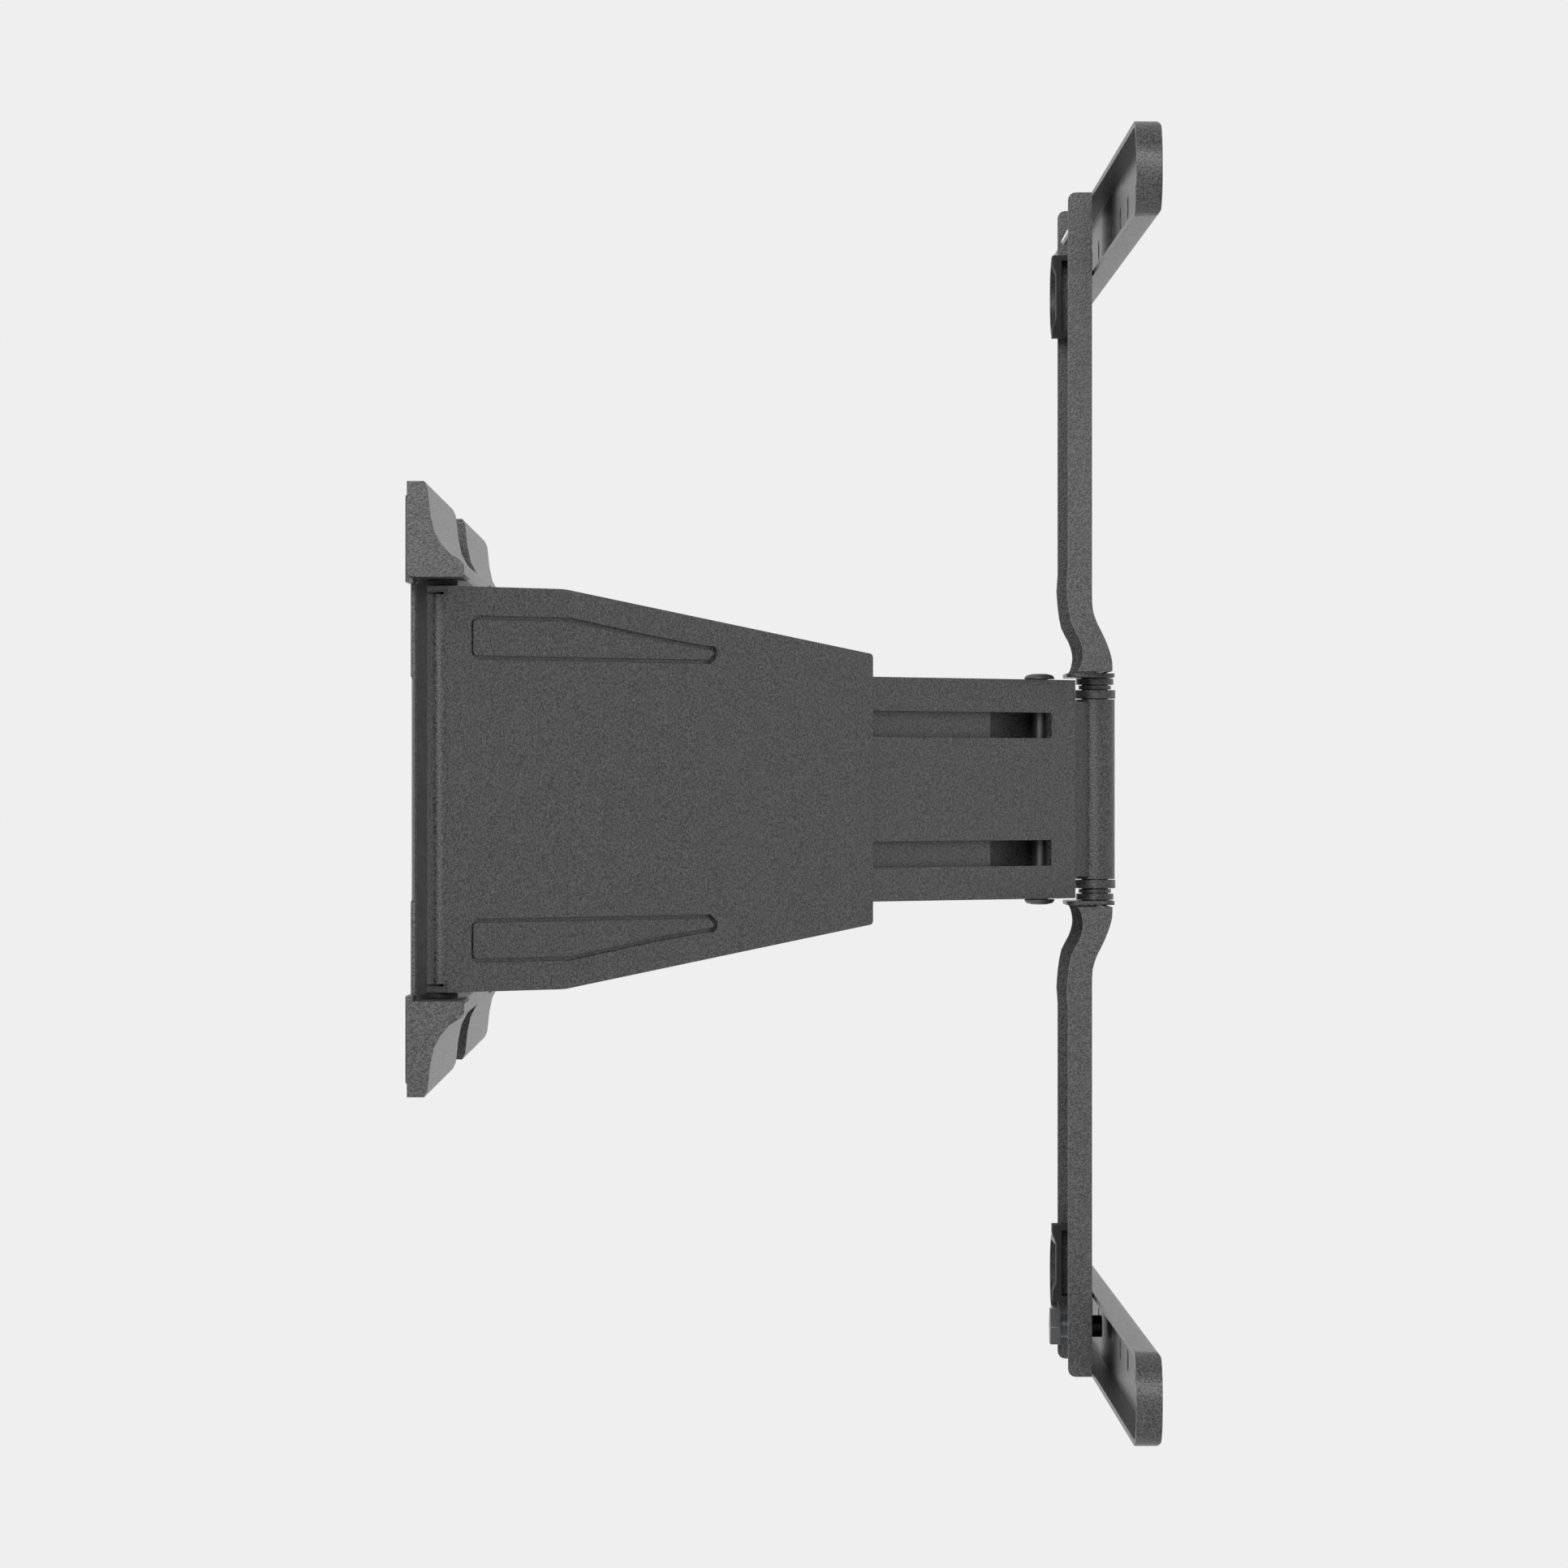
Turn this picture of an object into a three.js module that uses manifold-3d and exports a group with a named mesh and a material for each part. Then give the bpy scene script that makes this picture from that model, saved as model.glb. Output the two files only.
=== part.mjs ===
// Full motion TV wall mount: hinged telescoping arm, swivelling mast, two tilting TV rails.
// Millimetres. +Z up, wall at Y = 0, the television on the -Y side, X along the wall.
import * as THREE from 'three';
import { mergeVertices } from 'three/addons/utils/BufferGeometryUtils.js';
import Module from 'manifold-3d';

const wasm = await Module();
wasm.setup();

// ---- Shared ----
const SHEET = 2;
const CURVE_STEPS = 4;
const ROUND_SIDES = 28;
const HOLE_SIDES = 20;
const HEX_SIDES = 6;
const FAR = 400;
const WELD = 1e-4;
// How far a cutting tool reaches past the piece it cuts.
const CUT = 1;
// How far two solids that are joined into one run into each other.
const OVERLAP = 0.2;
// The straight left between the two arcs at the end of a slot.
const END_FLAT = 0.05;

// ---- Wall plate and covers ----
const HALF_WIDTH = 285;
const PLATE_HALF_WIDTH = 282.4;
const PLATE_HALF_HEIGHT = 96.8;
const PLATE_THICK = 2.5;
const PLATE_CORNER = 3;
const POCKET_HALF_HEIGHT = 68;
const END_STRIP = { x0: -265, x1: -262.6, rear: 1, relief: 2.2, reliefHalf: 36 };
const END_BUFFER = { back: -2.8, front: -6.3, half: 68, corner: 0.8 };
const KNUCKLE_WINDOW = { right: -236, half: 70, corner: 2 };
const LAG_SLOT = { length: 30, width: 7, z: 55, xs: [-200, -100, 0, 100, 200] };
const COVER_INNER_X = 45;
const COVER_WALL = 2;
const COVER_OUTLINE = [
  [-0.6, 101.1], [-6.3, 101.1], [-7.4, 98.8], [-8.3, 90.5], [-9.5, 84.9], [-11.6, 80.9],
  [-14.5, 77.5], [-18.4, 75], [-19.4, 73.6], [-19.4, 70.5], [-18.6, 69.7], [-2.8, 69.7],
  [-1.2, 70.3], [-0.6, 71.9],
];
const COVER_RELIEF = { endWall: 2.2, depth: 2.9, top: 97.1 };
const COVER_HOLLOW = [
  [1, 97.1], [-5.3, 97.1], [-6.3, 90.3], [-7.6, 84.2], [-10.2, 79.4], [-13.4, 75.7],
  [-17, 73.6], [-17.4, 71.7], [1, 71.7],
];

// ---- Shoulder ----
const SHOULDER = { x: -248, y: -9 };
const PIN = { r: 4, halfLength: 74.2, clearance: 0.3 };
const BUSH = { r: 6.95, z0: 67.9, z1: 69.4 };
const EAR = { halfWidth: 14, z0: 72.1, z1: 74.4, front: -15, back: -2.8, top: 95, thick: 2.4 };
const COVER_PIN_HOLE = { r: 5.4, end: 72.4 };

// ---- Outer arm, in its own frame: t along the arm, y away from its front face ----
const ARM_ANGLE = -43.04 * Math.PI / 180;
const ARM = { front: -10.4, back: 8.4, end: 205.8, kneeT: 50, halfRoot: 67.5, halfEnd: 47.7 };
const ARM_FACE = { start: -30, kneeR: 40, endR: 1.5, hollowOverrun: 20 };
const KNUCKLE = { end: -9, corner: 4, r: 8.4, arcSteps: 8, wrapT: 25, tubeR: 6.1, tubeHalf: 65 };
const KNUCKLE_NOTCH = { t: -5.2, z: 64.6 };
const RIB = { depth: 1.5, moat: 1.5, floor: 0.5 };
const RIB_OUTLINE = [
  [5.8, 43.1], [122, 43.1], [126.2, 46.2], [124.5, 49.2], [118, 49.6], [98, 51.8],
  [63, 56.5], [53, 57.9], [5.8, 57.9],
];
const RIB_RADII = [3, 2, 2, 2, 0, 0, 0, 0, 3];
const RIB_FLOOR_RADII = [1.5, 0, 0, 0, 0, 0, 0, 0, 1.5];
const BACK_PLATE = { t0: 25.5, t1: 202, y0: 6.5, y1: 8.3, clearance: 0.35 };
const GUIDE_PIN = { t: 190, z: 23.15, r: 4.3, y0: -8.1, y1: -5.2 };
const GLIDE_PAD = { t0: 178, t1: 203, z0: 40.2, z1: 45.2, y0: -8, y1: 6, corner: 1 };

// ---- Forearm, same frame, drawn out ----
const FOREARM = { t0: 110, t1: 319, front: -8, back: 4.6, half: 39.8 };
const FOREARM_BACK = { t0: 112, t1: 317, y0: 4.9, y1: 6.1, corner: 2 };
const SLOT = { t0: 183, t1: 305.7, z0: 18.5, z1: 27.8, corner: 1 };
const LINER = { t0: 115, t1: 276, y0: -4.6, y1: -3.2, half: 37.2 };
const RIVET = { t: 308.1, r: 3, headR: 5.5, headRise: 2, seat: 40.1 };
// The rivet head's profile, as shares of its radius and of its rise.
const RIVET_DOME = [[1, 0], [1, 0.25], [0.86, 0.7], [0.5, 0.95], [0, 1]];
const PIVOT_T = 339.3;
const TUBE = { r: 7.4, half: 33, web: 3, webHalf: 32, bossR: 4.5, bossHalf: 37.4 };
const BOSS_GAP = { z0: 16, z1: 30 };

// ---- Head ----
const PIVOT_Y = -240.6;
const SHAFT_R = 4.9;
const SHAFT_BORE_R = 5.2;
const SHAFT_HALF = 42.2;
const COLLAR = { r: 7.6, z0: 33.3, z1: 36.4 };
const SPACER = { r: 6, z0: 36.7, z1: 38.1 };
const WASHER = { r: 6.9, z0: 38.4, z1: 40.6 };
const FOOT = { halfWidth: 18, y0: -247.2, y1: -229.5, z0: 40.9, z1: 42.4, corner: 4 };
const MAST = { half: 43, tipTop: 216, tipBottom: 212.7, rearFoot: 80 };
const MAST_FRONT = [
  [-244.9, 42.7], [-244.7, 46.9], [-243.3, 51.6], [-241.3, 56.3], [-239.2, 60.5], [-237.8, 65],
  [-237.5, 70],
];
const MAST_REAR = [
  [-228.4, 74], [-228.9, 67.4], [-230.2, 60], [-232.9, 54.8], [-234.2, 50.5], [-234.2, 47.4],
  [-233.4, 44.2], [-232.3, 42.7],
];
const MAST_REAR_Y = -228.85;
const MAST_TIP_R = 2.7;
const BEND_STEPS = 14;
const CLIP = { rear: -226.4, waist: -227.8, seat: -235.2, x0: 28, x1: 40.6, lip: 3.5 };
const CLIP_TOP_Z = [168.2, 198.5];
const CLIP_BOTTOM_Z = [-190.4, -162];
const TIP_SLOT = { y: -232.6, z: 206.5, length: 7, width: 2.6, lean: 0.5 };

// ---- Tilt bolt and rails ----
const BOLT = { z: -197.5, acrossFlats: 13, head0: -227.9, head1: -224.1, r: 4, tip: -243.2, hole: 4.5 };
const BOLT_SHANK_REAR = -227.4;
const RAIL = { half: 320, height: 31, rim: -238.1, face: -246.6, endR: 14.5, holeR: 4.2 };
const RAIL_TOP_Z = 201.8;
const RAIL_BOTTOM_Z = -198.2;
const HOLE_PITCH = 50;
const HOLES_PER_SIDE = 6;
const BEND_R = 2.3;
const RAIL_END_STEPS = 9;
// A plane between the open rear of the mast and rails and the wall.
const BEHIND_HEAD = -200;

// ---- Solids ----
function solid(geometry) {
  geometry.deleteAttribute('normal');
  geometry.deleteAttribute('uv');
  const merged = mergeVertices(geometry, WELD);
  return new wasm.Manifold(new wasm.Mesh({
    numProp: 3,
    vertProperties: new Float32Array(merged.attributes.position.array),
    triVerts: new Uint32Array(merged.index.array),
  }));
}

function geometryOf(body) {
  const mesh = body.getMesh();
  const geometry = new THREE.BufferGeometry();
  geometry.setAttribute('position', new THREE.BufferAttribute(mesh.vertProperties, 3));
  geometry.setIndex(new THREE.BufferAttribute(mesh.triVerts, 1));
  geometry.computeVertexNormals();
  return geometry;
}

// Local x, y and z of a drawn outline turned to lie in the named plane.
const PLANES = {
  XY: new THREE.Matrix4(),
  YZ: new THREE.Matrix4().set(0, 0, 1, 0, 1, 0, 0, 0, 0, 1, 0, 0, 0, 0, 0, 1),
  XZ: new THREE.Matrix4().set(1, 0, 0, 0, 0, 0, -1, 0, 0, 1, 0, 0, 0, 0, 0, 1),
};

// A prism over an outline, from a to b along the plane's normal axis.
function prism(plane, outline, a, b) {
  const low = Math.min(a, b);
  const shape = new THREE.Shape(outline.map(([u, v]) => new THREE.Vector2(u, v)));
  const geometry = new THREE.ExtrudeGeometry(shape, { depth: Math.abs(b - a), bevelEnabled: false });
  geometry.translate(0, 0, plane === 'XZ' ? -Math.max(a, b) : low);
  geometry.applyMatrix4(PLANES[plane]);
  return solid(geometry);
}

// Replaces the corners of an outline with arcs; radii holds one radius for each corner.
function filleted(outline, radii, steps = CURVE_STEPS) {
  const points = [];
  outline.forEach(([x, y], i) => {
    const r = Array.isArray(radii) ? radii[i] : radii;
    if (!r) {
      points.push([x, y]);
      return;
    }
    const corner = new THREE.Vector2(x, y);
    const before = new THREE.Vector2(...outline.at(i - 1)).sub(corner).normalize();
    const after = new THREE.Vector2(...outline[(i + 1) % outline.length]).sub(corner).normalize();
    const half = Math.acos(before.dot(after)) / 2;
    const centre = before.clone().add(after).normalize().multiplyScalar(r / Math.sin(half)).add(corner);
    const start = before.multiplyScalar(r / Math.tan(half)).add(corner).sub(centre);
    const end = after.multiplyScalar(r / Math.tan(half)).add(corner).sub(centre);
    const turn = Math.atan2(start.cross(end), start.dot(end));
    for (let k = 0; k <= steps; k += 1) {
      const p = start.clone().rotateAround(new THREE.Vector2(), turn * k / steps).add(centre);
      points.push([p.x, p.y]);
    }
  });
  return points;
}

// An outline moved inwards by a distance, corner by corner.
function inset(outline, distance) {
  const area = outline.reduce((sum, [x, y], i) => {
    const [nx, ny] = outline[(i + 1) % outline.length];
    return sum + x * ny - nx * y;
  }, 0);
  const turn = Math.sign(area);
  return outline.map(([x, y], i) => {
    const corner = new THREE.Vector2(x, y);
    const before = corner.clone().sub(new THREE.Vector2(...outline.at(i - 1))).normalize();
    const after = new THREE.Vector2(...outline[(i + 1) % outline.length]).sub(corner).normalize();
    const inward = new THREE.Vector2(-before.y - after.y, before.x + after.x).normalize();
    const reach = distance / inward.dot(new THREE.Vector2(-before.y, before.x));
    return [x + turn * inward.x * reach, y + turn * inward.y * reach];
  });
}

function rectangle(x0, x1, y0, y1, r = 0, steps = CURVE_STEPS) {
  return filleted([[x0, y0], [x1, y0], [x1, y1], [x0, y1]], r, steps);
}

function circle(x, y, r, sides = ROUND_SIDES) {
  return Array.from({ length: sides }, (_, i) => {
    const a = 2 * Math.PI * i / sides;
    return [x + r * Math.cos(a), y + r * Math.sin(a)];
  });
}

function flipped(outline) {
  return outline.map(([u, v]) => [u, -v]);
}

function ring(x, y, r, bore, z0, z1) {
  return prism('XY', circle(x, y, r), z0, z1).subtract(prism('XY', circle(x, y, bore), -FAR, FAR));
}

const mount = new THREE.Group();
mount.name = 'tv_wall_mount';

const PAINT = { color: 0x2b2c2e, roughness: 0.55, metalness: 0.1 };
const STEEL = { color: 0x4a4c4f, roughness: 0.4, metalness: 0.8 };
const PLASTIC = { color: 0x1b1c1d, roughness: 0.6, metalness: 0 };

const armPlacement = new THREE.Matrix4()
  .makeTranslation(SHOULDER.x, SHOULDER.y, 0)
  .multiply(new THREE.Matrix4().makeRotationZ(ARM_ANGLE));

function add(name, body, look, placement) {
  const geometry = geometryOf(body);
  if (placement) geometry.applyMatrix4(placement);
  const mesh = new THREE.Mesh(geometry, new THREE.MeshStandardMaterial(look));
  mesh.name = name;
  mount.add(mesh);
}

// Calls make(sign, suffix) for the upper and lower copy of a piece.
function upperAndLower(make) {
  make(1, 'top');
  make(-1, 'bottom');
}

// ---- Wall plate ----
function wallPlate() {
  const w = PLATE_HALF_WIDTH;
  const face = rectangle(-w, w, -PLATE_HALF_HEIGHT, PLATE_HALF_HEIGHT, PLATE_CORNER);
  let plate = prism('XZ', face, -PLATE_THICK, 0);
  const window = [END_STRIP.x1, KNUCKLE_WINDOW.right, -KNUCKLE_WINDOW.half, KNUCKLE_WINDOW.half];
  plate = plate.subtract(prism('XZ', rectangle(...window, KNUCKLE_WINDOW.corner), -FAR, FAR));
  const offcut = [-FAR, END_STRIP.x0, -POCKET_HALF_HEIGHT, POCKET_HALF_HEIGHT];
  plate = plate.subtract(prism('XZ', rectangle(...offcut), -FAR, FAR));
  const { rear, relief, reliefHalf } = END_STRIP;
  const slopeEnd = reliefHalf + relief - rear;
  const notch = [
    [-relief, -reliefHalf], [-rear, -slopeEnd], [-rear, -POCKET_HALF_HEIGHT], [CUT, -POCKET_HALF_HEIGHT],
    [CUT, POCKET_HALF_HEIGHT], [-rear, POCKET_HALF_HEIGHT], [-rear, slopeEnd], [-relief, reliefHalf],
  ];
  plate = plate.subtract(prism('YZ', notch, END_STRIP.x0 - CUT, END_STRIP.x1 + CUT));
  for (const x of LAG_SLOT.xs) {
    for (const z of [-LAG_SLOT.z, LAG_SLOT.z]) {
      const l = LAG_SLOT.length / 2;
      const h = LAG_SLOT.width / 2;
      const outline = rectangle(x - l, x + l, z - h, z + h, h - END_FLAT);
      plate = plate.subtract(prism('XZ', outline, -FAR, FAR));
    }
  }
  return plate;
}
add('wall_plate', wallPlate(), PAINT);
const { front: bufferFront, back: bufferBack, half: bufferHalf, corner: bufferCorner } = END_BUFFER;
const buffer = rectangle(bufferFront, bufferBack, -bufferHalf, bufferHalf, bufferCorner);
add('end_buffer', prism('YZ', buffer, END_STRIP.x0, END_STRIP.x1), PLASTIC);

function cover(sign, x0, x1) {
  const side = sign > 0 ? (o) => o : flipped;
  const hollow = prism('YZ', side(COVER_HOLLOW), x0 + COVER_WALL, x1 - COVER_WALL);
  const left = x0 < 0;
  const { endWall, depth, top } = COVER_RELIEF;
  const behind = rectangle(left ? x0 + endWall : x0 - CUT, left ? x1 + CUT : x1 - endWall, -depth, CUT);
  const pinHole = circle(SHOULDER.x, SHOULDER.y, COVER_PIN_HOLE.r);
  return prism('YZ', side(COVER_OUTLINE), x0, x1)
    .subtract(hollow)
    .subtract(prism('XY', behind, 0, sign * top))
    .subtract(prism('XY', pinHole, 0, sign * COVER_PIN_HOLE.end));
}
upperAndLower((sign, suffix) => {
  add(`cover_${suffix}_left`, cover(sign, -HALF_WIDTH, -COVER_INNER_X), PAINT);
  add(`cover_${suffix}_right`, cover(sign, COVER_INNER_X, HALF_WIDTH), PAINT);
});

// ---- Shoulder hinge ----
upperAndLower((sign, suffix) => {
  const x0 = SHOULDER.x - EAR.halfWidth;
  const x1 = SHOULDER.x + EAR.halfWidth;
  const leg = prism('XY', rectangle(x0, x1, EAR.front, EAR.back), sign * EAR.z0, sign * EAR.z1);
  const root = prism('XZ', rectangle(x0, x1, 0, EAR.top), EAR.back - EAR.thick, EAR.back)
    .intersect(prism('XY', rectangle(x0 - CUT, x1 + CUT, -FAR, FAR), EAR.z0, FAR));
  const upright = sign > 0 ? root : root.mirror([0, 0, 1]);
  const hole = prism('XY', circle(SHOULDER.x, SHOULDER.y, PIN.r + PIN.clearance), -FAR, FAR);
  add(`shoulder_ear_${suffix}`, leg.add(upright).subtract(hole), PAINT);
  const bush = ring(SHOULDER.x, SHOULDER.y, BUSH.r, PIN.r + PIN.clearance, sign * BUSH.z0, sign * BUSH.z1);
  add(`shoulder_bush_${suffix}`, bush, PLASTIC);
});
const pinOutline = circle(SHOULDER.x, SHOULDER.y, PIN.r);
add('shoulder_pin', prism('XY', pinOutline, -PIN.halfLength, PIN.halfLength), STEEL);

// ---- Outer arm ----
// Plan outline of the arm at a distance in from its outer skin; openBack leaves its rear face out.
function armPlan(skin, openBack) {
  const front = ARM.front + skin;
  const r = KNUCKLE.r - skin;
  const arc = [];
  for (let k = 0; k <= KNUCKLE.arcSteps; k += 1) {
    const a = Math.PI - k * Math.PI / (2 * KNUCKLE.arcSteps);
    arc.push([r * Math.cos(a), r * Math.sin(a)]);
  }
  const corner = filleted([[ARM.end, front], [KNUCKLE.end + skin, front], [KNUCKLE.end + skin, 0]],
    [0, KNUCKLE.corner - skin, 0]).slice(1, -1);
  const rear = openBack
    ? [[KNUCKLE.wrapT, r], [KNUCKLE.wrapT, FAR], [FAR, FAR], [FAR, front]]
    : [[ARM.end, ARM.back], [ARM.end, front]];
  return [...corner, ...arc, ...rear];
}

function armFace(skin, t1) {
  const slope = (ARM.halfEnd - ARM.halfRoot) / (ARM.end - ARM.kneeT);
  const root = ARM.halfRoot - skin;
  const tip = root + slope * (t1 - ARM.kneeT);
  const { start, kneeR } = ARM_FACE;
  const endR = skin ? 0 : ARM_FACE.endR;
  const outline = [
    [start, -root], [ARM.kneeT, -root], [t1, -tip], [t1, tip], [ARM.kneeT, root], [start, root],
  ];
  return filleted(outline, [0, kneeR, endR, endR, kneeR, 0]);
}

function armShell() {
  const outer = prism('XY', armPlan(0, false), -FAR, FAR)
    .intersect(prism('XZ', armFace(0, ARM.end), -FAR, FAR));
  const inner = prism('XY', armPlan(SHEET, true), -FAR, FAR)
    .intersect(prism('XZ', armFace(SHEET, ARM.end + ARM_FACE.hollowOverrun), -FAR, FAR));
  let shell = outer.subtract(inner);
  for (const side of [(o) => o, flipped]) {
    const rib = filleted(side(RIB_OUTLINE), RIB_RADII);
    const raised = filleted(inset(side(RIB_OUTLINE), RIB.moat), RIB_FLOOR_RADII);
    const inside = ARM.front + SHEET;
    const bottom = ARM.front + RIB.depth;
    shell = shell.add(prism('XZ', rib, inside - OVERLAP, inside + RIB.depth));
    shell = shell.subtract(prism('XZ', rib, ARM.front - CUT, bottom));
    shell = shell.add(prism('XZ', raised, ARM.front + RIB.floor, bottom + OVERLAP));
  }
  const corner = rectangle(-FAR, KNUCKLE_NOTCH.t, -FAR, FAR);
  for (const sign of [-1, 1]) {
    shell = shell.subtract(prism('XY', corner, sign * KNUCKLE_NOTCH.z, sign * FAR));
  }
  return shell.subtract(prism('XY', circle(0, 0, PIN.r + PIN.clearance), -FAR, FAR));
}
add('arm_shell', armShell(), PAINT, armPlacement);

function armBackPlate() {
  const { t0, t1, y0, y1, clearance } = BACK_PLATE;
  const plan = prism('XY', rectangle(t0, t1, y0, y1), -FAR, FAR);
  return plan.intersect(prism('XZ', armFace(SHEET + clearance, ARM.end), -FAR, FAR));
}
add('arm_back_plate', armBackPlate(), PAINT, armPlacement);
const { tubeR, tubeHalf } = KNUCKLE;
add('arm_knuckle_tube', ring(0, 0, tubeR, PIN.r + PIN.clearance, -tubeHalf, tubeHalf), STEEL, armPlacement);
upperAndLower((sign, suffix) => {
  const studOutline = circle(GUIDE_PIN.t, sign * GUIDE_PIN.z, GUIDE_PIN.r);
  add(`guide_stud_${suffix}`, prism('XZ', studOutline, GUIDE_PIN.y0, GUIDE_PIN.y1), STEEL, armPlacement);
  const { t0, t1, y0, y1, z0, z1, corner } = GLIDE_PAD;
  const pad = prism('XY', rectangle(t0, t1, y0, y1, corner), sign * z0, sign * z1);
  add(`glide_pad_${suffix}`, pad, PLASTIC, armPlacement);
});

// ---- Forearm ----
function forearmChannel() {
  const { t0, t1, front, back, half } = FOREARM;
  let channel = prism('YZ', rectangle(front, back, -half, half), t0, t1);
  const hollow = rectangle(front + SHEET, FAR, SHEET - half, half - SHEET);
  channel = channel.subtract(prism('YZ', hollow, t0 - CUT, t1 + CUT));
  for (const sign of [-1, 1]) {
    const z = [sign * SLOT.z0, sign * SLOT.z1].sort((a, b) => a - b);
    const slot = rectangle(SLOT.t0, SLOT.t1, ...z, SLOT.corner);
    channel = channel.subtract(prism('XZ', slot, front - CUT, front + SHEET + CUT));
  }
  return channel.subtract(prism('XY', circle(RIVET.t, 0, RIVET.r + PIN.clearance), -FAR, FAR));
}
add('forearm_channel', forearmChannel(), PAINT, armPlacement);
const linerOutline = rectangle(LINER.t0, LINER.t1, -LINER.half, LINER.half);
add('forearm_liner', prism('XZ', linerOutline, LINER.y0, LINER.y1), PAINT, armPlacement);

function forearmBackPlate() {
  const { t0, t1, y0, y1, corner } = FOREARM_BACK;
  return prism('XZ', rectangle(t0, t1, -FOREARM.half, FOREARM.half, corner), y0, y1);
}
add('forearm_back_plate', forearmBackPlate(), PAINT, armPlacement);

function headKnuckle() {
  const tube = prism('XY', circle(PIVOT_T, 0, TUBE.r), -TUBE.half, TUBE.half);
  const web = prism('XY', rectangle(RIVET.t, PIVOT_T, -TUBE.web, TUBE.web), -TUBE.webHalf, TUBE.webHalf);
  let hub = prism('XY', circle(RIVET.t, 0, TUBE.bossR), -TUBE.bossHalf, TUBE.bossHalf).add(web);
  for (const sign of [-1, 1]) {
    const clear = rectangle(RIVET.t - FAR, RIVET.t + TUBE.bossR, -FAR, FAR);
    hub = hub.subtract(prism('XY', clear, sign * BOSS_GAP.z0, sign * BOSS_GAP.z1));
  }
  return tube.add(hub)
    .subtract(prism('XY', circle(PIVOT_T, 0, SHAFT_BORE_R), -FAR, FAR))
    .subtract(prism('XY', circle(RIVET.t, 0, RIVET.r + PIN.clearance), -FAR, FAR));
}
add('head_knuckle', headKnuckle(), PAINT, armPlacement);

function knuckleRivet() {
  const { r, headR, headRise, seat } = RIVET;
  const dome = RIVET_DOME.map(([out, up]) => [out * headR, seat + up * headRise]);
  const upper = [[r, seat], ...dome];
  const lower = [...upper].reverse().map(([x, z]) => [x, -z]);
  const points = [...lower, ...upper].map(([x, z]) => new THREE.Vector2(x, z));
  const geometry = new THREE.LatheGeometry(points, ROUND_SIDES);
  geometry.rotateX(Math.PI / 2);
  geometry.translate(RIVET.t, 0, 0);
  return solid(geometry);
}
add('knuckle_rivet', knuckleRivet(), STEEL, armPlacement);

// ---- Swivel head ----
add('swivel_shaft', prism('XY', circle(0, PIVOT_Y, SHAFT_R), -SHAFT_HALF, SHAFT_HALF), STEEL);
upperAndLower((sign, suffix) => {
  add(`swivel_collar_${suffix}`,
    ring(0, PIVOT_Y, COLLAR.r, SHAFT_BORE_R, sign * COLLAR.z0, sign * COLLAR.z1), PLASTIC);
  add(`swivel_spacer_${suffix}`,
    ring(0, PIVOT_Y, SPACER.r, SHAFT_BORE_R, sign * SPACER.z0, sign * SPACER.z1), PLASTIC);
  add(`swivel_washer_${suffix}`,
    ring(0, PIVOT_Y, WASHER.r, SHAFT_BORE_R, sign * WASHER.z0, sign * WASHER.z1), STEEL);
  const outline = rectangle(-FOOT.halfWidth, FOOT.halfWidth, FOOT.y0, FOOT.y1, FOOT.corner);
  const foot = prism('XY', outline, sign * FOOT.z0, sign * FOOT.z1)
    .subtract(prism('XY', circle(0, PIVOT_Y, SHAFT_BORE_R), -FAR, FAR));
  add(`mast_foot_${suffix}`, foot, PAINT);
});

// A smooth curve through the points of an outline's bend.
function smoothed(points, steps) {
  const curve = new THREE.SplineCurve(points.map(([x, y]) => new THREE.Vector2(x, y)));
  return curve.getPoints(steps).map((p) => [p.x, p.y]);
}

function mastChannel(sign, tip) {
  const side = sign > 0 ? (o) => o : flipped;
  const bendFront = smoothed(MAST_FRONT, BEND_STEPS);
  const webY = MAST_FRONT.at(-1)[0];
  const tail = filleted([[webY, tip], [MAST_REAR_Y, tip], [MAST_REAR_Y, MAST.rearFoot]],
    [0, MAST_TIP_R, 0]);
  const outline = [...bendFront, ...tail, ...smoothed(MAST_REAR, BEND_STEPS)];
  const behindWeb = bendFront.map(([y, z]) => [y + SHEET, z]);
  const hollow = [
    [behindWeb[0][0], 0], ...behindWeb, [behindWeb.at(-1)[0], FAR], [BEHIND_HEAD, FAR], [BEHIND_HEAD, 0],
  ];
  const inner = prism('YZ', side(hollow), SHEET - MAST.half, MAST.half - SHEET);
  return prism('YZ', side(outline), -MAST.half, MAST.half).subtract(inner);
}

function slantedSlot() {
  const { y, z, length, width, lean } = TIP_SLOT;
  const outline = rectangle(-width / 2, width / 2, -length / 2, length / 2, width / 2 - END_FLAT);
  return outline.map(([u, v]) => [
    y + u * Math.cos(lean) - v * Math.sin(lean),
    z + u * Math.sin(lean) + v * Math.cos(lean),
  ]);
}
const upperMast = mastChannel(1, MAST.tipTop).subtract(prism('YZ', slantedSlot(), 0, FAR));
add('mast_upper', upperMast, PAINT);
const boltHole = prism('XZ', circle(0, BOLT.z, BOLT.hole, HOLE_SIDES), -FAR, FAR);
add('mast_lower', mastChannel(-1, MAST.tipBottom).subtract(boltHole), PAINT);

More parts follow.
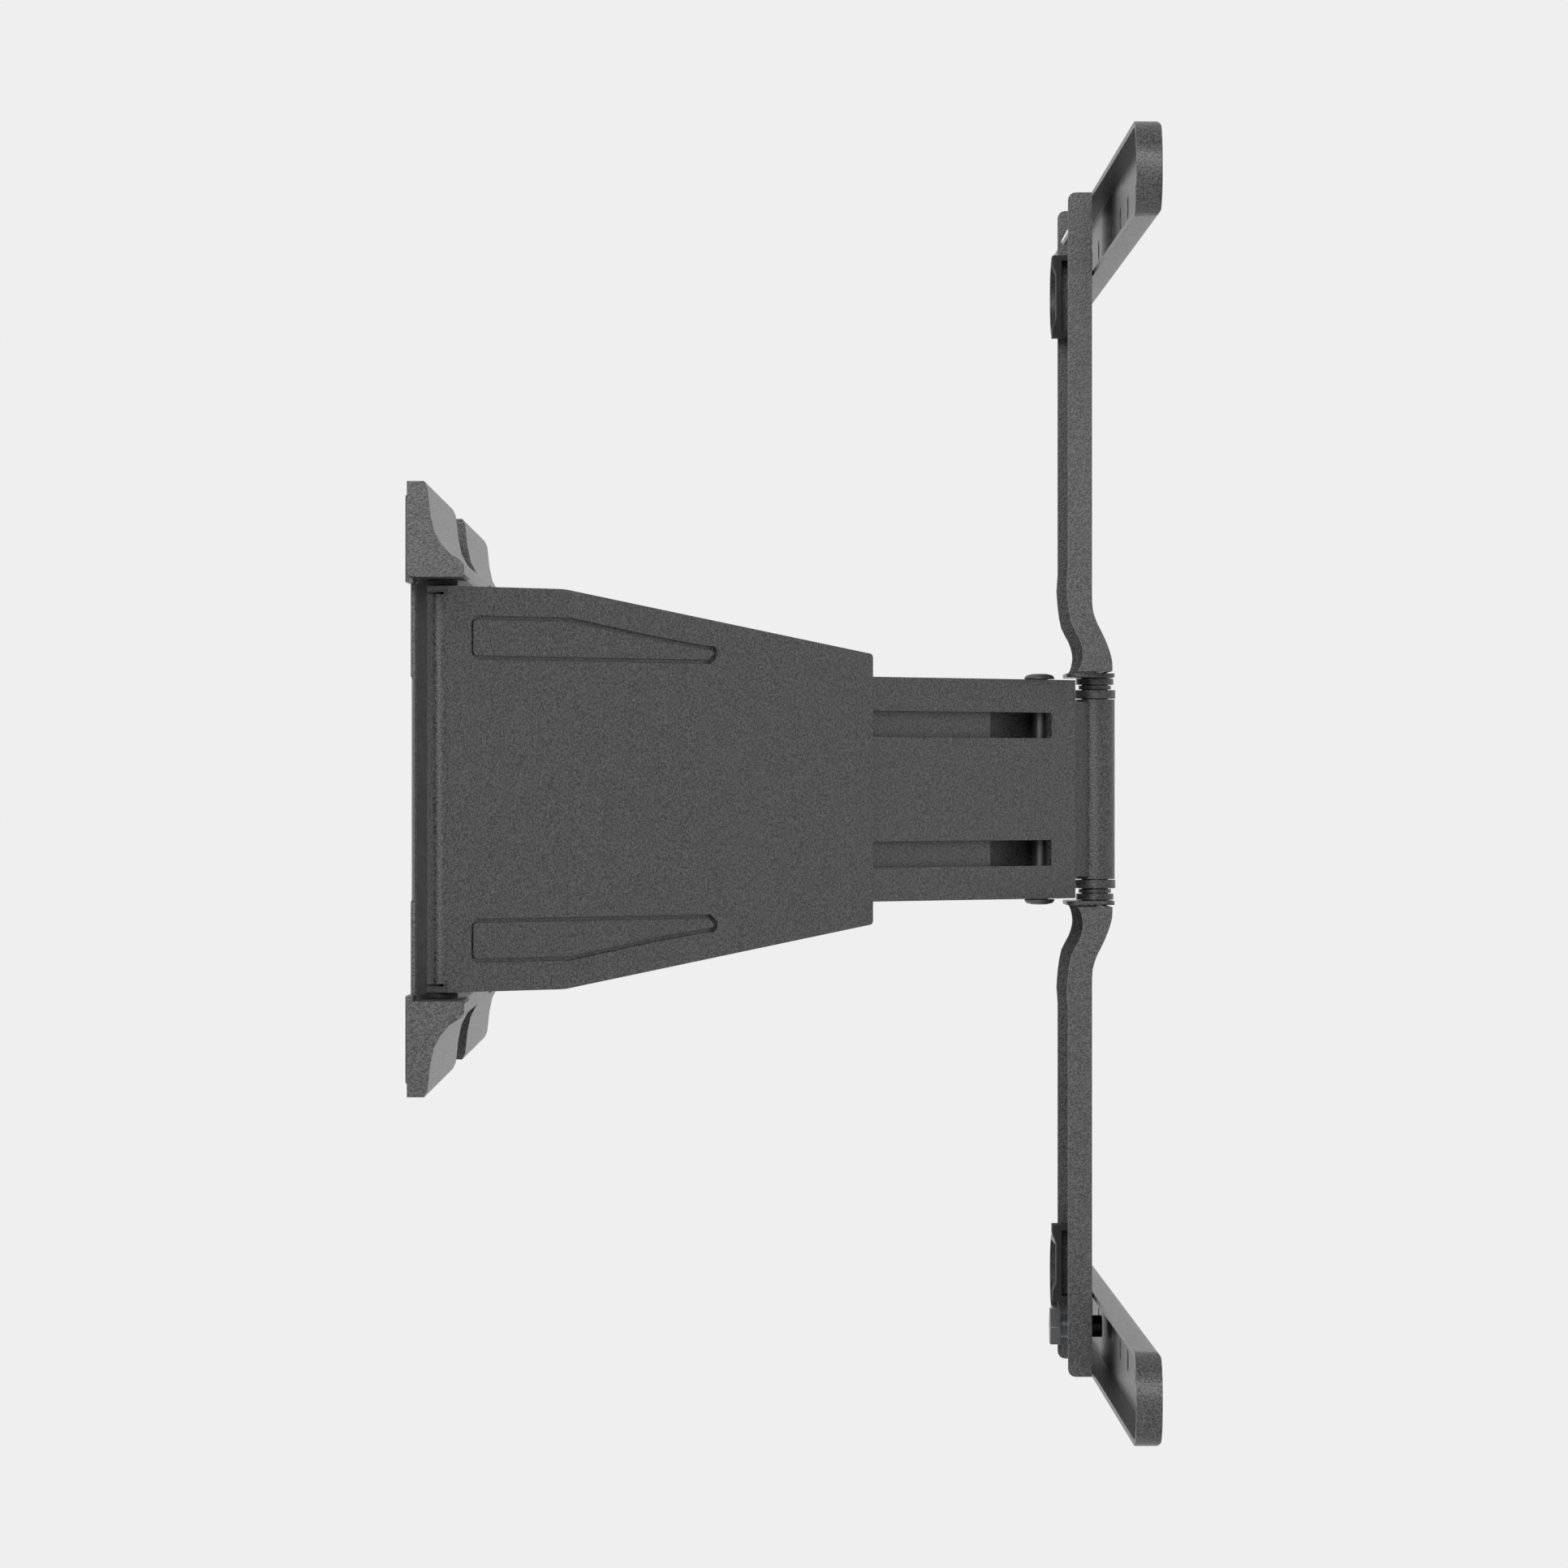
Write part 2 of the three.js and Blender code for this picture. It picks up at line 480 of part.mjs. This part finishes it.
function cableClip([z0, z1]) {
  const { rear, waist, seat, x0, x1, lip } = CLIP;
  const outline = [
    [seat, z0], [rear, z0], [rear, z0 + lip], [waist, z0 + 2 * lip], [waist, z1 - 2 * lip],
    [rear, z1 - lip], [rear, z1], [seat, z1], [seat, z1 - SHEET], [waist - SHEET, z1 - SHEET],
    [waist - SHEET, z0 + SHEET], [seat, z0 + SHEET],
  ];
  return prism('YZ', outline, x0, x1);
}
add('cable_clip_top', cableClip(CLIP_TOP_Z), PLASTIC);
add('cable_clip_bottom', cableClip(CLIP_BOTTOM_Z), PLASTIC);

// ---- Tilt bolt ----
const headRadius = BOLT.acrossFlats / Math.sqrt(3);
const boltHead = prism('XZ', circle(0, BOLT.z, headRadius, HEX_SIDES), BOLT.head0, BOLT.head1);
const boltShank = prism('XZ', circle(0, BOLT.z, BOLT.r, HOLE_SIDES), BOLT.tip, BOLT_SHANK_REAR);
add('tilt_bolt', boltHead.add(boltShank), STEEL);

// ---- TV rails ----
function rail(z) {
  const h = RAIL.height / 2;
  const section = filleted([[RAIL.rim, z - h], [RAIL.face, z - h], [RAIL.face, z + h], [RAIL.rim, z + h]],
    [0, BEND_R, BEND_R, 0]);
  const front = rectangle(-RAIL.half, RAIL.half, z - h, z + h, RAIL.endR, RAIL_END_STEPS);
  const inside = [SHEET - RAIL.half, RAIL.half - SHEET, z - h + SHEET, z + h - SHEET];
  const inFront = rectangle(...inside, RAIL.endR - SHEET, RAIL_END_STEPS);
  let body = prism('YZ', section, -RAIL.half, RAIL.half).intersect(prism('XZ', front, -FAR, FAR));
  body = body.subtract(prism('XZ', inFront, RAIL.face + SHEET, BEHIND_HEAD));
  for (let i = 1; i <= HOLES_PER_SIDE; i += 1) {
    for (const side of [-1, 1]) {
      const hole = circle(side * i * HOLE_PITCH, z, RAIL.holeR, HOLE_SIDES);
      body = body.subtract(prism('XZ', hole, -FAR, FAR));
    }
  }
  return body;
}
add('rail_top', rail(RAIL_TOP_Z), PAINT);
add('rail_bottom', rail(RAIL_BOTTOM_Z), PAINT);

export default mount;
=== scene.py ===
import math

import bmesh
import bpy
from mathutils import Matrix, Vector

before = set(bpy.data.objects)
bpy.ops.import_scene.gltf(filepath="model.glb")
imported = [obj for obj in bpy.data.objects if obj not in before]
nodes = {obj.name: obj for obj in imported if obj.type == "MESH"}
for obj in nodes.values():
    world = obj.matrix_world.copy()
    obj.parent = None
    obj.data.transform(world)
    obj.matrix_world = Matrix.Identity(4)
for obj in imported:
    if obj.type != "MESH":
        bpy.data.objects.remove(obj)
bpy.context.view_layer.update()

MM = 0.001

# ---- Camera: level with the mount, looking along the wall at the hinge end ----
CAMERA_DISTANCE = 2.643
CAMERA_Y = -0.1081
AIM_Y = -0.1263
AIM_Z = 0.0019
FOCAL_MM = 165.0
SENSOR_MM = 36.0
NEAR_CLIP = 0.05
FAR_CLIP = 50.0

# ---- Stage and light ----
FLOOR_Z = -0.7
FLOOR_HALF = 3.4
FLOOR_CELLS = 8
BACKGROUND = (0.863, 0.863, 0.863, 1.0)
KEY_PLACE = (-3.4, 0.25, 1.3)
KEY_AIM = (0.0, -0.12, 0.0)
KEY_SIZE = (1.6, 1.6)
KEY_WATTS = 62.0

# ---- Noise. A band is the stretch of a texture's output that is spread over a full range ----
FULL_BAND = (0.0, 1.0)
CLOUD_BAND = (0.3, 0.7)
GRAIN_BAND = (0.25, 0.75)
SPECKLE_BAND = (0.38, 0.62)
EDGE_BAND = (0.52, 0.62)

# ---- Layers: noise is scale per metre, detail and roughness; bump is strength and distance ----
COAT_CLOUDS = (14.0, 3.0)
COAT_GRAIN = (1500.0, 2.0, 0.6)
COAT_PITS = (1000.0, 3.0, 0.55)
STEEL_CLOUDS = (60.0, 3.0)
STEEL_MARKS = (900.0, 4.0, 0.7)
PLASTIC_CLOUDS = (90.0, 2.0)
PLASTIC_GRAIN = (1300.0, 3.0)
PAPER_FIBRES = (90.0, 4.0)
GRAIN_BUMP = (0.9, 0.15 * MM)
PITS_BUMP = (0.3, 0.08 * MM)
FINE_BUMP = (0.3, 0.05 * MM)

# ---- Powder coat ----
COAT_DARK = (0.008, 0.008, 0.0083, 1.0)
COAT_LIGHT = (0.012, 0.012, 0.0123, 1.0)
COAT_ROUGHNESS = (0.27, 0.42)
INNER_DARK = (0.009, 0.009, 0.0093, 1.0)
INNER_LIGHT = (0.013, 0.013, 0.0133, 1.0)
INNER_ROUGHNESS = (0.33, 0.48)
COAT_SPECULAR = 0.5
FLECK_GAIN = 5.5
RUBBED_GAIN = 2.6
COAT_WEAR = 0.6

# ---- Steel, plastic and floor ----
STEEL_DARK = (0.045, 0.046, 0.05, 1.0)
STEEL_LIGHT = (0.075, 0.076, 0.08, 1.0)
STEEL_RUBBED = (0.3, 0.3, 0.31, 1.0)
STEEL_WEAR = 0.8
STEEL_ROUGHNESS = (0.32, 0.5)
STEEL_METALLIC = 0.7
PLASTIC_DARK = (0.008, 0.008, 0.009, 1.0)
PLASTIC_LIGHT = (0.014, 0.014, 0.015, 1.0)
PLASTIC_ROUGHNESS = (0.7, 0.85)
PAPER_DARK = (0.80, 0.80, 0.80, 1.0)
PAPER_LIGHT = (0.84, 0.84, 0.84, 1.0)
PAPER_ROUGHNESS = 0.9

# ---- Edges of the CAD pieces ----
WELD_DISTANCE = 1e-6
BEVEL_SEGMENTS = 3
BEVEL_ANGLE = math.radians(42)
FACE_AREA_WEIGHT = 50
EDGE_ROUNDING = {"arm_shell": 0.9 * MM, "forearm_channel": 0.8 * MM, "head_knuckle": 0.5 * MM,
                 "tilt_bolt": 0.5 * MM, "knuckle_rivet": 0.2 * MM, "wall_plate": 0.5 * MM}
DEFAULT_ROUNDING = 0.6 * MM
SMALL_ROUNDING = 0.25 * MM

# ---- Which node has which finish: the rest have the powder coat ----
STEEL_NODES = {"shoulder_pin", "arm_knuckle_tube", "guide_stud_top", "guide_stud_bottom", "knuckle_rivet",
               "swivel_shaft", "tilt_bolt"}
# end_buffer is painted shade: a dark strip on the knuckle's end flange where only shade falls; the other
# nodes here are real plastic parts
PLASTIC_AND_SHADE_STRIP_NODES = {"shoulder_bush_top", "shoulder_bush_bottom", "glide_pad_top", "glide_pad_bottom",
                 "cable_clip_top", "cable_clip_bottom", "end_buffer"}
RING_NODES = {"swivel_washer_top", "swivel_washer_bottom", "swivel_collar_top", "swivel_collar_bottom"}
INNER_NODES = {"forearm_liner", "arm_back_plate"}


def add_camera():
    data = bpy.data.cameras.new("camera")
    data.lens = FOCAL_MM
    data.sensor_width = SENSOR_MM
    data.clip_start = NEAR_CLIP
    data.clip_end = FAR_CLIP
    camera = bpy.data.objects.new("camera", data)
    bpy.context.scene.collection.objects.link(camera)
    camera.location = (-CAMERA_DISTANCE, CAMERA_Y, 0.0)
    look = Vector((0.0, AIM_Y, AIM_Z)) - camera.location
    camera.rotation_euler = look.to_track_quat("-Z", "Y").to_euler()
    bpy.context.scene.camera = camera


# ---- Material helpers ----
def node_tree(name):
    material = bpy.data.materials.new(name)
    material.use_nodes = True
    tree = material.node_tree
    tree.nodes.clear()
    output = tree.nodes.new("ShaderNodeOutputMaterial")
    shader = tree.nodes.new("ShaderNodeBsdfPrincipled")
    tree.links.new(shader.outputs["BSDF"], output.inputs["Surface"])
    return material, tree, shader


def noise(tree, place, scale, detail, roughness=0.5):
    node = tree.nodes.new("ShaderNodeTexNoise")
    node.inputs["Scale"].default_value = scale
    node.inputs["Detail"].default_value = detail
    node.inputs["Roughness"].default_value = roughness
    tree.links.new(place, node.inputs["Vector"])
    return node.outputs["Fac"]


def ramp(tree, value, low, high, band):
    """The band of value spread over low to high."""
    node = tree.nodes.new("ShaderNodeMapRange")
    node.inputs["From Min"].default_value, node.inputs["From Max"].default_value = band
    node.inputs["To Min"].default_value = low
    node.inputs["To Max"].default_value = high
    tree.links.new(value, node.inputs["Value"])
    return node.outputs["Result"]


def clouds(tree, place, layer):
    return ramp(tree, noise(tree, place, *layer), *FULL_BAND, CLOUD_BAND)


def mix(tree, factor, a, b):
    """Colours a and b mixed by factor; each is a socket or a colour."""
    node = tree.nodes.new("ShaderNodeMix")
    node.data_type = "RGBA"
    tree.links.new(factor, node.inputs["Factor"])
    for socket, colour in ((node.inputs["A"], a), (node.inputs["B"], b)):
        if isinstance(colour, tuple):
            socket.default_value = colour
        else:
            tree.links.new(colour, socket)
    return node.outputs["Result"]


def bump(tree, height, strength, distance, under=None):
    node = tree.nodes.new("ShaderNodeBump")
    node.inputs["Strength"].default_value = strength
    node.inputs["Distance"].default_value = distance
    tree.links.new(height, node.inputs["Height"])
    if under:
        tree.links.new(under, node.inputs["Normal"])
    return node.outputs["Normal"]


def surface_place(tree):
    """Object coordinates, the same at every joint position."""
    return tree.nodes.new("ShaderNodeTexCoord").outputs["Object"]


def edge_wear(tree, grain, strength):
    """A factor that is high on outer edges, broken up by the grain."""
    pointiness = tree.nodes.new("ShaderNodeNewGeometry").outputs["Pointiness"]
    edges = ramp(tree, pointiness, 0.0, strength, EDGE_BAND)
    node = tree.nodes.new("ShaderNodeMath")
    node.operation = "MULTIPLY"
    tree.links.new(edges, node.inputs[0])
    tree.links.new(grain, node.inputs[1])
    return node.outputs["Value"]


def brighter(colour, gain):
    return tuple(c * gain for c in colour[:3]) + (1.0,)


# ---- Materials ----
def powder_coat(name, dark, light, roughness):
    """Matte powder coat: orange-peel grain with pale flecks, faint clouding, paler rubbed edges."""
    material, tree, shader = node_tree(name)
    place = surface_place(tree)
    clouding = clouds(tree, place, COAT_CLOUDS)
    grain = noise(tree, place, *COAT_GRAIN)
    pits = noise(tree, place, *COAT_PITS)
    flecks = ramp(tree, grain, *FULL_BAND, SPECKLE_BAND)
    speckled = mix(tree, flecks, mix(tree, clouding, dark, light), brighter(light, FLECK_GAIN))
    colour = mix(tree, edge_wear(tree, pits, COAT_WEAR), speckled, brighter(light, RUBBED_GAIN))
    tree.links.new(colour, shader.inputs["Base Color"])
    tree.links.new(ramp(tree, pits, *roughness, GRAIN_BAND), shader.inputs["Roughness"])
    coarse = bump(tree, pits, *PITS_BUMP)
    tree.links.new(bump(tree, grain, *GRAIN_BUMP, coarse), shader.inputs["Normal"])
    shader.inputs["Specular IOR Level"].default_value = COAT_SPECULAR
    return material


def dark_steel():
    """Blackened steel of pins, rivet and bolt, with fine turned marks."""
    material, tree, shader = node_tree("dark_steel")
    place = surface_place(tree)
    marks = noise(tree, place, *STEEL_MARKS)
    base = mix(tree, clouds(tree, place, STEEL_CLOUDS), STEEL_DARK, STEEL_LIGHT)
    colour = mix(tree, edge_wear(tree, marks, STEEL_WEAR), base, STEEL_RUBBED)
    tree.links.new(colour, shader.inputs["Base Color"])
    tree.links.new(ramp(tree, marks, *STEEL_ROUGHNESS, GRAIN_BAND), shader.inputs["Roughness"])
    tree.links.new(bump(tree, marks, *FINE_BUMP), shader.inputs["Normal"])
    shader.inputs["Metallic"].default_value = STEEL_METALLIC
    return material


def moulded_plastic():
    """Black plastic of bushes, pads and clips, with a fine moulded texture; also worn by the end buffer,
    a dark strip that is painted shade on the knuckle's end flange.
    """
    material, tree, shader = node_tree("moulded_plastic")
    place = surface_place(tree)
    grain = noise(tree, place, *PLASTIC_GRAIN)
    colour = mix(tree, clouds(tree, place, PLASTIC_CLOUDS), PLASTIC_DARK, PLASTIC_LIGHT)
    tree.links.new(colour, shader.inputs["Base Color"])
    tree.links.new(ramp(tree, grain, *PLASTIC_ROUGHNESS, GRAIN_BAND), shader.inputs["Roughness"])
    tree.links.new(bump(tree, grain, *FINE_BUMP), shader.inputs["Normal"])
    return material


def floor_paper():
    material, tree, shader = node_tree("floor_paper")
    fibres = noise(tree, surface_place(tree), *PAPER_FIBRES)
    tree.links.new(mix(tree, fibres, PAPER_DARK, PAPER_LIGHT), shader.inputs["Base Color"])
    shader.inputs["Roughness"].default_value = PAPER_ROUGHNESS
    return material


# ---- Finish of the CAD pieces ----
def finish_of(name, looks):
    if name in STEEL_NODES:
        return looks["steel"]
    if name in PLASTIC_AND_SHADE_STRIP_NODES:
        return looks["plastic"]
    return looks["inner_coat"] if name in INNER_NODES else looks["coat"]


def soften_edges(piece, width):
    weld = piece.modifiers.new("weld", "WELD")
    weld.merge_threshold = WELD_DISTANCE
    bevel = piece.modifiers.new("rounded_edges", "BEVEL")
    bevel.width = width
    bevel.segments = BEVEL_SEGMENTS
    bevel.limit_method = "ANGLE"
    bevel.angle_limit = BEVEL_ANGLE
    bevel.use_clamp_overlap = True
    normals = piece.modifiers.new("even_normals", "WEIGHTED_NORMAL")
    normals.mode = "FACE_AREA"
    normals.weight = FACE_AREA_WEIGHT
    normals.keep_sharp = False


def dress_cad(looks):
    for name, piece in nodes.items():
        material = finish_of(name, looks)
        if not piece.data.materials:
            piece.data.materials.append(material)
        for slot in piece.material_slots:
            slot.material = material
        for polygon in piece.data.polygons:
            polygon.use_smooth = True
        small = name in STEEL_NODES | RING_NODES | PLASTIC_AND_SHADE_STRIP_NODES
        soften_edges(piece, EDGE_ROUNDING.get(name, SMALL_ROUNDING if small else DEFAULT_ROUNDING))


# ---- Light and floor ----
def add_key_light():
    data = bpy.data.lights.new("key", "AREA")
    data.shape = "RECTANGLE"
    data.size, data.size_y = KEY_SIZE
    data.energy = KEY_WATTS
    light = bpy.data.objects.new("key", data)
    bpy.context.scene.collection.objects.link(light)
    light.location = KEY_PLACE
    light.rotation_euler = (Vector(KEY_AIM) - light.location).to_track_quat("-Z", "Y").to_euler()


def add_light():
    world = bpy.data.worlds.new("studio")
    world.use_nodes = True
    world.node_tree.nodes["Background"].inputs["Color"].default_value = BACKGROUND
    world.node_tree.nodes["Background"].inputs["Strength"].default_value = 1.0
    bpy.context.scene.world = world
    add_key_light()
    bpy.context.scene.view_settings.view_transform = "Standard"


def add_floor():
    builder = bmesh.new()
    bmesh.ops.create_grid(builder, x_segments=FLOOR_CELLS, y_segments=FLOOR_CELLS, size=FLOOR_HALF)
    bmesh.ops.translate(builder, verts=builder.verts, vec=(0.0, 0.0, FLOOR_Z))
    bmesh.ops.recalc_face_normals(builder, faces=builder.faces)
    mesh = bpy.data.meshes.new("floor")
    builder.to_mesh(mesh)
    builder.free()
    mesh.materials.append(floor_paper())
    floor = bpy.data.objects.new("floor", mesh)
    bpy.context.scene.collection.objects.link(floor)


add_camera()
dress_cad({
    "coat": powder_coat("powder_coat", COAT_DARK, COAT_LIGHT, COAT_ROUGHNESS),
    "inner_coat": powder_coat("inner_coat", INNER_DARK, INNER_LIGHT, INNER_ROUGHNESS),
    "steel": dark_steel(),
    "plastic": moulded_plastic(),
})
add_light()
add_floor()
